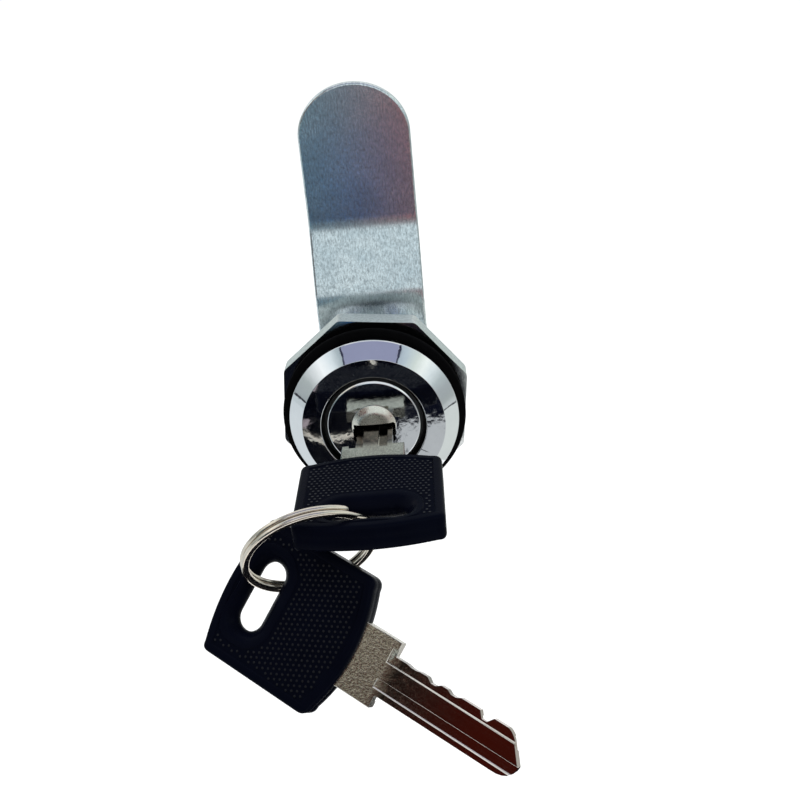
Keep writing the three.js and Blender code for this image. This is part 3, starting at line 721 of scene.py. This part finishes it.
def build_plug():
    profile = rounded([
        (AXIS_R, PLUG_FACE_Y - COLLAR_HEIGHT, 0),
        (DISH_FLOOR_R, PLUG_FACE_Y - COLLAR_HEIGHT + 0.1, 0.5),
        (DISH_R + 0.05, PLUG_FACE_Y, 0.1),
        (PLUG_FLAT_R, PLUG_FACE_Y, 0.1),
        (HEAD_R, PLUG_FACE_Y + 0.6, 0.1),
        (HEAD_R, HEAD_BACK_Y, 0.05),
        (PLUG_R, HEAD_BACK_Y, 0),
        (PLUG_R, PLUG_END_Y, 0.2),
        (AXIS_R, PLUG_END_Y, 0),
    ])
    angles = circle(200)
    verts, faces = revolved(profile, angles, closed=False)

    def look(r, y):
        """Which of the plug's skins the strip has that ends at a row of the profile; the head's
        side wall and all behind it take the cavity material's painted shade.
        """
        if r < DISH_R + 0.06:
            return 2
        return 0 if r < HEAD_R - 1e-3 and y < HEAD_BACK_Y else 1

    looks = [look(*row) for row in profile[1:] for _ in angles]
    sharp = 30
    made = piece(
        "plug_rotor", verts, faces, "plug", [CHROME, CAVITY_SHADE, COLLAR], ("plug",),
        looks=looks, sharp=sharp,
    )
    before_face = PLUG_FACE_Y - 2
    tools = [
        cutter(keyway_outline(), before_face, KEYWAY_END_Y),
        cutter(rectangle(*DISH_SLOT), before_face, PLUG_FACE_Y + DISH_DEPTH),
    ]
    outside = PLUG_R + 1
    for i in range(WAFERS):
        y = FIRST_WAFER_Y + i * WAFER_PITCH
        for outline in (
            rectangle(-outside, outside, *CHAMBER_Z),
            rectangle(SPRING_POCKET_X, outside, *SPRING_POCKET_Z),
        ):
            tools.append(cutter(outline, y - CHAMBER_HALF, y + CHAMBER_HALF))
    carve(made, tools, sharp)

    def square(inset):
        def radius(angle):
            flat = (DRIVE_HALF - inset) / max(abs(math.cos(angle)), abs(math.sin(angle)))
            return min(flat, DRIVE_CORNER_R - inset)
        return radius

    rows = [
        (AXIS_R, PLUG_END_Y - 1), lambda a: (square(0)(a), PLUG_END_Y - 1),
        lambda a: (square(0)(a), DRIVE_END_Y - 0.3), lambda a: (square(0.3)(a), DRIVE_END_Y),
        (2.3, DRIVE_END_Y), (SCREW_HOLE_R, DRIVE_END_Y - 0.3),
        (SCREW_HOLE_R, DRIVE_END_Y - SCREW_HOLE_DEPTH), (AXIS_R, DRIVE_END_Y - SCREW_HOLE_DEPTH),
    ]
    verts, faces = revolved(rows, circle(96), closed=False)
    piece("plug_square", verts, faces, "plug", [SCREW_ZINC])


# ------------------------------------------------------------------ keys

def bow_outline():
    """Points round the bow's edge, drawn flat: X from the rear corners to the front, Y across."""
    w = BOW_HALF_WIDTH
    front = BOW_FRONT_CORNER_X
    corner, rear = BOW_FRONT_RADIUS, BOW_REAR_RADIUS

    def curve(start, pull, end, steps):
        a, b, c = Vector(start), Vector(pull), Vector(end)
        shares = (k / steps for k in range(steps))
        return [a * (1 - t) ** 2 + b * 2 * t * (1 - t) + c * t ** 2 for t in shares]

    side = 30
    points = [Vector((rear + (front - corner - rear) * k / side, -w)) for k in range(side)]
    points += curve((front - corner, -w), (front - 0.1, -w), (front, corner - w), 8)
    points += curve((front, corner - w), (2 * BOW_FRONT_X - front, 0), (front, w - corner), 40)
    points += curve((front, w - corner), (front - 0.1, w), (front - corner, w), 8)
    points += [
        Vector((front - corner - (front - corner - rear) * k / side, w)) for k in range(side)
    ]
    points += curve((rear, w), (0, w), (0, w - rear), 8)
    points += curve((0, w - rear), (-2 * BOW_REAR_BULGE, 0), (0, rear - w), 40)
    points += curve((0, rear - w), (0, -w), (rear, -w), 8)
    return np.array([tuple(p) for p in points])


def edge_distance(points, outline):
    """Distance from each point to a closed polyline."""
    a = outline
    b = np.roll(outline, -1, axis=0)
    along = b - a
    offset = points[:, None, :] - a[None]
    share = np.clip((offset * along[None]).sum(-1) / (along ** 2).sum(-1)[None], 0, 1)
    gap = offset - share[..., None] * along[None]
    return np.sqrt((gap ** 2).sum(-1)).min(1)


def slot_distance(points):
    """Distance from each point to the slot's wall, positive outside the slot."""
    end = SLOT_HALF_LENGTH - SLOT_HALF_WIDTH
    along = np.clip(points[:, 1], -end, end)
    nearest = np.stack([np.full(len(points), SLOT_X), along], axis=1)
    return np.sqrt(((points - nearest) ** 2).sum(-1)) - SLOT_HALF_WIDTH


SLOT_CENTRE = np.array([SLOT_X, 0.0])


def level(distance, target, directions, low, high):
    """How far along each direction from the slot's centre the distance reaches its target."""
    low, high = low.copy(), high.copy()
    for _ in range(36):
        middle = (low + high) / 2
        inside = distance(SLOT_CENTRE + directions * middle[:, None]) < target
        low = np.where(inside, middle, low)
        high = np.where(inside, high, middle)
    return (low + high) / 2


def crossed(u, v):
    return u[..., 0] * v[..., 1] - u[..., 1] * v[..., 0]


def outline_reach(outline, directions):
    """The outline's own radius along each direction, by crossing its polyline."""
    a = outline - SLOT_CENTRE
    b = np.roll(outline, -1, axis=0) - SLOT_CENTRE
    span = (b - a)[None]
    d = directions[:, None, :]
    bottom = crossed(d, span)
    with np.errstate(divide="ignore", invalid="ignore"):
        t = crossed(a[None], span) / bottom
        u = crossed(a[None], d) / bottom
    return np.where((u >= -1e-9) & (u <= 1 + 1e-9) & (t > 0), t, np.inf).min(1)


def stud_sites(bearing, inner, outer):
    """Where the studs stand, in rows over the sunk panel."""
    sites = np.array([
        (i * STUD_PITCH, (j + 0.5 * (i % 2)) * STUD_PITCH)
        for i in range(-2, int(BOW_FRONT_X / STUD_PITCH) + 2) for j in range(-14, 15)
    ])
    around = sites - SLOT_CENTRE
    angle = np.arctan2(around[:, 1], around[:, 0])
    distance = np.linalg.norm(around, axis=1)
    near = np.interp(angle, bearing, inner, period=TURN)
    limit = np.interp(angle, bearing, outer, period=TURN)
    return sites[(distance > near + STUD_MARGIN) & (distance < limit - STUD_MARGIN)]


def build_bow(name, body, node, place):
    """The moulded bow: rings of vertices round the slot, from its wall out to the edge."""
    outline = bow_outline()
    following = np.roll(outline, -1, axis=0)
    dense = np.concatenate([outline + (following - outline) * t for t in (0.0, 0.5)])
    bearing = np.sort(np.arctan2(dense[:, 1], dense[:, 0] - SLOT_X))
    directions = np.stack([np.cos(bearing), np.sin(bearing)], axis=1)
    count = len(bearing)
    far = np.full(count, 30.0)
    wall = level(slot_distance, 0.0, directions, np.zeros(count), far)
    reach = outline_reach(outline, directions)

    def inward(points):
        inside = -edge_distance(points, outline)
        past = np.linalg.norm(points - SLOT_CENTRE, axis=1) > reach
        return np.where(past, -inside, inside)

    room = reach - wall
    slot_scale = np.minimum(1, 0.46 * room / 2.6)
    edge_scale = np.minimum(1, 0.46 * room / 1.6)

    def slot_ring(offset):
        return level(slot_distance, offset * slot_scale, directions, wall * 0.5, reach)

    def edge_ring(offset):
        low = (wall + reach) / 2 * 0.9
        return level(inward, -offset * edge_scale, directions, low, reach + 1e-6)

    top = BOW_HALF_THICKNESS
    sunk = top - PANEL_SINK
    inner, outer = slot_ring(2.55), edge_ring(1.45)
    upper = [(wall, 0.0), (wall, top - 1.55)]
    upper += [(slot_ring(offset), top - drop) for offset, drop in (
        (0.35, 1.1), (0.8, 0.55), (1.2, 0.2), (1.5, 0.06), (1.8, 0), (2.4, 0),
    )]
    upper += [(inner + (outer - inner) * k / 14, sunk) for k in range(15)]
    upper += [(edge_ring(offset), top - drop) for offset, drop in (
        (1.3, 0), (0.62, 0), (0.42, 0.04), (0.22, 0.15), (0.08, 0.34),
    )]
    upper += [(reach, top - 0.6), (reach, 0.35), (reach - 0.05, 0.0)]
    lower = [(r, -z) for r, z in upper[1:-1]][::-1]
    verts, faces, looks = [], [], []
    loop = upper + lower
    for radius, z in loop:
        at = SLOT_CENTRE + directions * radius[:, None]
        verts += [(x, y, z) for x, y in at]
    for i in range(len(loop)):
        j = (i + 1) % len(loop)
        panel = abs(loop[i][1]) == sunk and abs(loop[j][1]) == sunk
        for k in range(count):
            m = (k + 1) % count
            faces.append((i * count + k, i * count + m, j * count + m, j * count + k))
            looks.append(0 if panel else 1)

    n = STUD_SIDES
    ring = [(math.cos(TURN * k / n), math.sin(TURN * k / n)) for k in range(n)]
    sites = stud_sites(bearing, inner, outer)
    for side in (1, -1):
        for x, y in sites:
            base = len(verts)
            for r, h in STUD_PROFILE:
                verts += [(x + r * c, y + r * s, side * (sunk + h)) for c, s in ring]
            verts.append((x, y, side * (sunk + STUD_TIP)))
            for k in range(n):
                m = (k + 1) % n
                faces.append((base + k, base + m, base + n + m, base + n + k))
                faces.append((base + n + k, base + n + m, base + 2 * n))
                looks += [0, 2]
            faces.append(tuple(range(base, base + n)))
            looks.append(0)
    skins = [BOW_PANEL, BOW_SMOOTH, BOW_STUD]
    piece(
        name, verts, faces, body, skins, (node,),
        place=place, looks=looks, sharp=38,
    )


# ------------------------------------------------------------------ split ring

def build_ring():
    """Two coils of flat wire, which step over each other by one thickness."""
    sideways = Vector((0, 0, 1)).cross(RING_NORMAL).normalized()
    upward = RING_NORMAL.cross(sideways)
    total = 2 * TURN - RING_JOG - RING_GAP
    steps, corners = RING_STEPS, RING_CORNERS
    section = []
    for k in range(corners):
        c, s = math.cos(TURN * k / corners), math.sin(TURN * k / corners)
        section.append((
            math.copysign(abs(c) ** RING_SQUARENESS, c) * RING_HALF_RADIAL,
            math.copysign(abs(s) ** RING_SQUARENESS, s) * RING_HALF_COIL,
        ))
    verts, faces = [], []
    for i in range(steps + 1):
        turn = total * i / steps
        share = min(max((turn - (TURN - RING_JOG)) / (RING_JOG - RING_GAP / 2), 0), 1)
        step = share * share * (3 - 2 * share)
        angle = RING_START + turn
        radial = sideways * math.cos(angle) + upward * math.sin(angle)
        middle = RING_CENTRE + radial * RING_R + RING_NORMAL * (step - 0.5) * RING_PITCH
        shrink = RING_END_SCALE[min(i, steps - i, 2)]
        verts += [
            tuple(middle + radial * r * shrink + RING_NORMAL * n * shrink) for r, n in section
        ]
    for i in range(steps):
        for k in range(corners):
            m = (k + 1) % corners
            near, far = i * corners, (i + 1) * corners
            faces.append((near + k, near + m, far + m, far + k))
    faces.append(tuple(range(corners)))
    faces.append(tuple(range(steps * corners, (steps + 1) * corners))[::-1])
    piece("ring_coils", verts, faces, "ring", [RING_NICKEL], ("split_ring",))


# ------------------------------------------------------------------ build

build_housing()
build_gasket()
build_nut()
build_plug()
refined("cam", "plug", CAM_ZINC, 0.4, steps=4, name="cam_arm")
refined("stop_washer", "plug", SCREW_ZINC, 0.15)
refined("lock_washer", "plug", SCREW_ZINC, 0.12)
refined("cam_screw", "plug", SCREW_ZINC, 0.15)
refined("key_blade", "key", BLADE, 0.1, place=KEY_PLACE, sharp=15, milled=0.1)
spare = refined(
    "spare_key_blade", "spare_key", BLADE, 0.1,
    place=SPARE_PLACE, sharp=15, milled=0.1,
)
spare.visible_glossy = False    # keeps its smear out of the mirror-bright bezel
build_bow("key_bow_shell", "key", "key_bow", KEY_PLACE)
build_bow("spare_key_bow_shell", "spare_key", "spare_key_bow", SPARE_PLACE)
build_ring()

for number in range(1, WAFERS + 1):
    for node, material in ((f"wafer_{number}", BRASS), (f"wafer_spring_{number}", SPRING_STEEL)):
        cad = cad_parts[node]
        cad.data.materials.clear()
        cad.data.materials.append(material)


# ------------------------------------------------------------------ studio

FLOOR_Z = -95.0
FLOOR_REACH = 6000.0
GROUND_Z = -94              # boards that lie just above the floor
WALL_X = 1500
WALL_Y = (-1500, 1500)
NEAR_Y = -150
NEAR_FOOT_Z, NEAR_BAND_Z, NEAR_TOP_Z = -94.5, -66.2, -14
FRONT_Y = -300
BEHIND_FRONT_Y = -370
OVERHEAD_Y = (-260, 40)
BLACK = (0.0, 0.0, 0.0)
NAVY = (0.003, 0.004, 0.010)
LINE_BLUE = (0.02, 0.02, 0.05)
LINE_GREY = (0.04, 0.04, 0.05)


def board(name, points, faces, glow, colour=BLACK, seen=False):
    """A board outside the object, which lights or darkens what the metal reflects.

    The glow is one colour, or a list with one colour for each pair of points.
    """
    mesh = bpy.data.meshes.new(name)
    mesh.from_pydata([tuple(c * MM for c in point) for point in points], [], faces)
    made = bpy.data.objects.new(name, mesh)
    bpy.context.scene.collection.objects.link(made)
    material = bpy.data.materials.new(name)
    material.use_nodes = True
    tree = material.node_tree
    bsdf = tree.nodes["Principled BSDF"]
    bsdf.inputs["Base Color"].default_value = (*colour, 1)
    bsdf.inputs["Roughness"].default_value = 0.9
    bsdf.inputs["Specular IOR Level"].default_value = 0.0
    bsdf.inputs["Emission Strength"].default_value = 1.0
    if isinstance(glow, list):
        layer = mesh.color_attributes.new("glow", "FLOAT_COLOR", "POINT")
        for i, shade in enumerate(glow):
            layer.data[2 * i].color = layer.data[2 * i + 1].color = (*shade, 1)
        attribute = tree.nodes.new("ShaderNodeAttribute")
        attribute.attribute_name = "glow"
        tree.links.new(attribute.outputs["Color"], bsdf.inputs["Emission Color"])
    else:
        bsdf.inputs["Emission Color"].default_value = (*glow, 1)
    mesh.materials.append(material)
    made.visible_camera = seen
    made.visible_shadow = seen
    made.visible_diffuse = seen


def upright(name, x, y, z, glow):
    """An upright board across the front, between two x and two z, at one y."""
    corners = [(x[0], y, z[0]), (x[1], y, z[0]), (x[1], y, z[1]), (x[0], y, z[1])]
    board(name, corners, [(0, 1, 2, 3)], glow)


def side_board(name, x, y, z, glow):
    """An upright board along the side, at one x."""
    corners = [(x, y[0], z[0]), (x, y[1], z[0]), (x, y[1], z[1]), (x, y[0], z[1])]
    board(name, corners, [(0, 1, 2, 3)], glow)


def level_board(name, x, y, z, glow, **looks):
    """A level board at one z."""
    corners = [(x[0], y[0], z), (x[1], y[0], z), (x[1], y[1], z), (x[0], y[1], z)]
    board(name, corners, [(0, 1, 2, 3)], glow, **looks)


def graded(name, rows):
    """A board of strips whose glow runs smoothly from each row to the next."""
    points = [end for first, last, _ in rows for end in (first, last)]
    strips = [(2 * i, 2 * i + 1, 2 * i + 3, 2 * i + 2) for i in range(len(rows) - 1)]
    board(name, points, strips, [glow for _, _, glow in rows])


def graded_wall(name, x, stops):
    """A side wall whose glow changes with height."""
    graded(name, [((x, WALL_Y[0], z), (x, WALL_Y[1], z), glow) for z, glow in stops])


def graded_ground(name, y, stops):
    """A strip of ground just above the floor whose glow changes from side to side."""
    graded(name, [((x, y[0], GROUND_Z), (x, y[1], GROUND_Z), glow) for x, glow in stops])


level_board(
    "floor", (-FLOOR_REACH, FLOOR_REACH), (-FLOOR_REACH, FLOOR_REACH), FLOOR_Z,
    (0.72, 0.72, 0.72), colour=(0.35, 0.35, 0.35), seen=True,
)
for name, x, y, z, glow in (
    ("near_left", (-110, -3.4), NEAR_Y, (NEAR_FOOT_Z, NEAR_TOP_Z), NAVY),
    ("near_right", (-3.4, 40), NEAR_Y, (NEAR_BAND_Z, NEAR_TOP_Z), NAVY),
    ("near_right_light", (40, 130), NEAR_Y, (NEAR_BAND_Z, NEAR_TOP_Z), (0.42, 0.44, 0.44)),
    ("near_grey", (-3.4, 200), NEAR_Y, (NEAR_FOOT_Z, NEAR_BAND_Z), (0.52, 0.54, 0.55)),
    ("near_patch", (-35, -24.6), NEAR_Y + 1, (-66, -47), (0.36, 0.31, 0.33)),
    ("front_left", (-360, -17), FRONT_Y, (GROUND_Z, 48), (0.13, 0.22, 0.27)),
    ("front_right", (-17, 360), FRONT_Y, (GROUND_Z, 48), (0.26, 0.155, 0.16)),
    ("front_blue", (-40, -6), FRONT_Y + 2, (-50, -18), (0.03, 0.11, 0.30)),
    ("front_red", (2, 34), FRONT_Y + 3, (-24, 6), (0.34, 0.07, 0.08)),
    ("front_light", (-100, 260), FRONT_Y, (54, 260), (0.76, 0.85, 0.88)),
    ("brown_front", (-298, -110), BEHIND_FRONT_Y, (60, 420), (0.10, 0.013, 0.008)),
    ("grey_left", (-620, -298), BEHIND_FRONT_Y, (262, 560), (0.80, 0.78, 0.68)),
    ("grey_left_low", (-620, -298), BEHIND_FRONT_Y, (60, 262), (0.01, 0.01, 0.009)),
):
    upright(name, x, y, z, glow)
level_board("mat", (-30, 45), (-80, 10), GROUND_Z, (0.01, 0.01, 0.012))
level_board("overhead", (-220, 230), OVERHEAD_Y, 420, (0.33, 0.35, 0.50))
level_board("overhead_left", (-238, -220), OVERHEAD_Y, 419, LINE_BLUE)
level_board("overhead_right", (230, 252), OVERHEAD_Y, 419, LINE_BLUE)
graded_ground("ground_left", (-500, 1500), [
    (-WALL_X, (0.70, 0.76, 0.78)), (-60, (0.74, 0.79, 0.81)),
])
side_board("skirting_left", -WALL_X, WALL_Y, (FLOOR_Z, 40), (0.62, 0.68, 0.70))
side_board("edge_left", -WALL_X, WALL_Y, (40, 88), LINE_GREY)
graded_wall("wall_left", -WALL_X, [
    (88, (0.40, 0.44, 0.45)), (480, (0.48, 0.53, 0.52)), (800, (0.80, 0.84, 0.84)),
    (1120, (1.10, 1.13, 1.12)), (1650, (0.88, 0.96, 0.98)), (2300, (0.50, 0.58, 0.61)),
    (3300, (0.30, 0.36, 0.42)),
])
graded_ground("ground_right_near", (-500, 1500), [
    (60, (0.72, 0.76, 0.73)), (370, (0.72, 0.76, 0.73)),
])
level_board("edge_right", (370, 400), (-800, 800), GROUND_Z, LINE_GREY)
graded_ground("ground_right", (-800, 800), [
    (400, (0.62, 0.66, 0.65)), (700, (0.44, 0.48, 0.47)), (WALL_X, (0.42, 0.46, 0.46)),
])
graded_wall("wall_right", WALL_X, [
    (GROUND_Z, (0.42, 0.46, 0.46)), (90, (0.43, 0.47, 0.48)), (310, (0.52, 0.59, 0.59)),
    (620, (0.84, 0.92, 0.92)), (920, (1.02, 1.08, 1.03)), (1280, (0.76, 0.84, 0.78)),
    (1900, (0.58, 0.68, 0.73)), (2600, (0.46, 0.54, 0.62)),
])
upright("backdrop", (-900, 900), 700, (GROUND_Z, 120), (0.50, 0.58, 0.57))

world = bpy.data.worlds.new("studio")
bpy.context.scene.world = world
world.use_nodes = True
world.node_tree.nodes["Background"].inputs["Color"].default_value = (0.84, 0.87, 0.88, 1)


def area_light(name, position, size, watts):
    """A soft lamp that points at the lock and does not show in its metal."""
    data = bpy.data.lights.new(name, "AREA")
    data.shape = "RECTANGLE"
    data.size, data.size_y = (s * MM for s in size)
    data.energy = watts
    lamp = bpy.data.objects.new(name, data)
    bpy.context.scene.collection.objects.link(lamp)
    lamp.location = Vector(position) * MM
    lamp.visible_glossy = False
    lamp.rotation_mode = "QUATERNION"
    lamp.rotation_quaternion = (-Vector(position)).to_track_quat("-Z", "Y")


area_light("soft_left", (-300, 240, 480), (260, 260), 2.2)
area_light("soft_right", (460, -160, 360), (200, 300), 1.2)

# The camera looks at the lock from the front and a little above, slightly rolled.
camera_data = bpy.data.cameras.new("camera")
camera_data.lens = 51.43
camera_data.sensor_width = 36
camera_data.clip_start = 0.01
camera_data.clip_end = 50
camera = bpy.data.objects.new("camera", camera_data)
bpy.context.scene.collection.objects.link(camera)
AZIMUTH, ELEVATION, ROLL = (math.radians(a) for a in (2.49, 23.47, -5.63))
DISTANCE = 190.01
TARGET = Vector((4.42, 0, 2.01))
back = Vector((
    math.sin(AZIMUTH) * math.cos(ELEVATION),
    -math.cos(AZIMUTH) * math.cos(ELEVATION),
    math.sin(ELEVATION),
))
level_right = Vector((math.cos(AZIMUTH), math.sin(AZIMUTH), 0))
level_up = back.cross(level_right)
right = level_right * math.cos(ROLL) + level_up * math.sin(ROLL)
up = back.cross(right)
camera.matrix_world = Matrix.Translation((TARGET + back * DISTANCE) * MM) @ Matrix(
    (right, up, back)
).transposed().to_4x4()
bpy.context.scene.camera = camera
bpy.context.scene.view_settings.view_transform = "Standard"
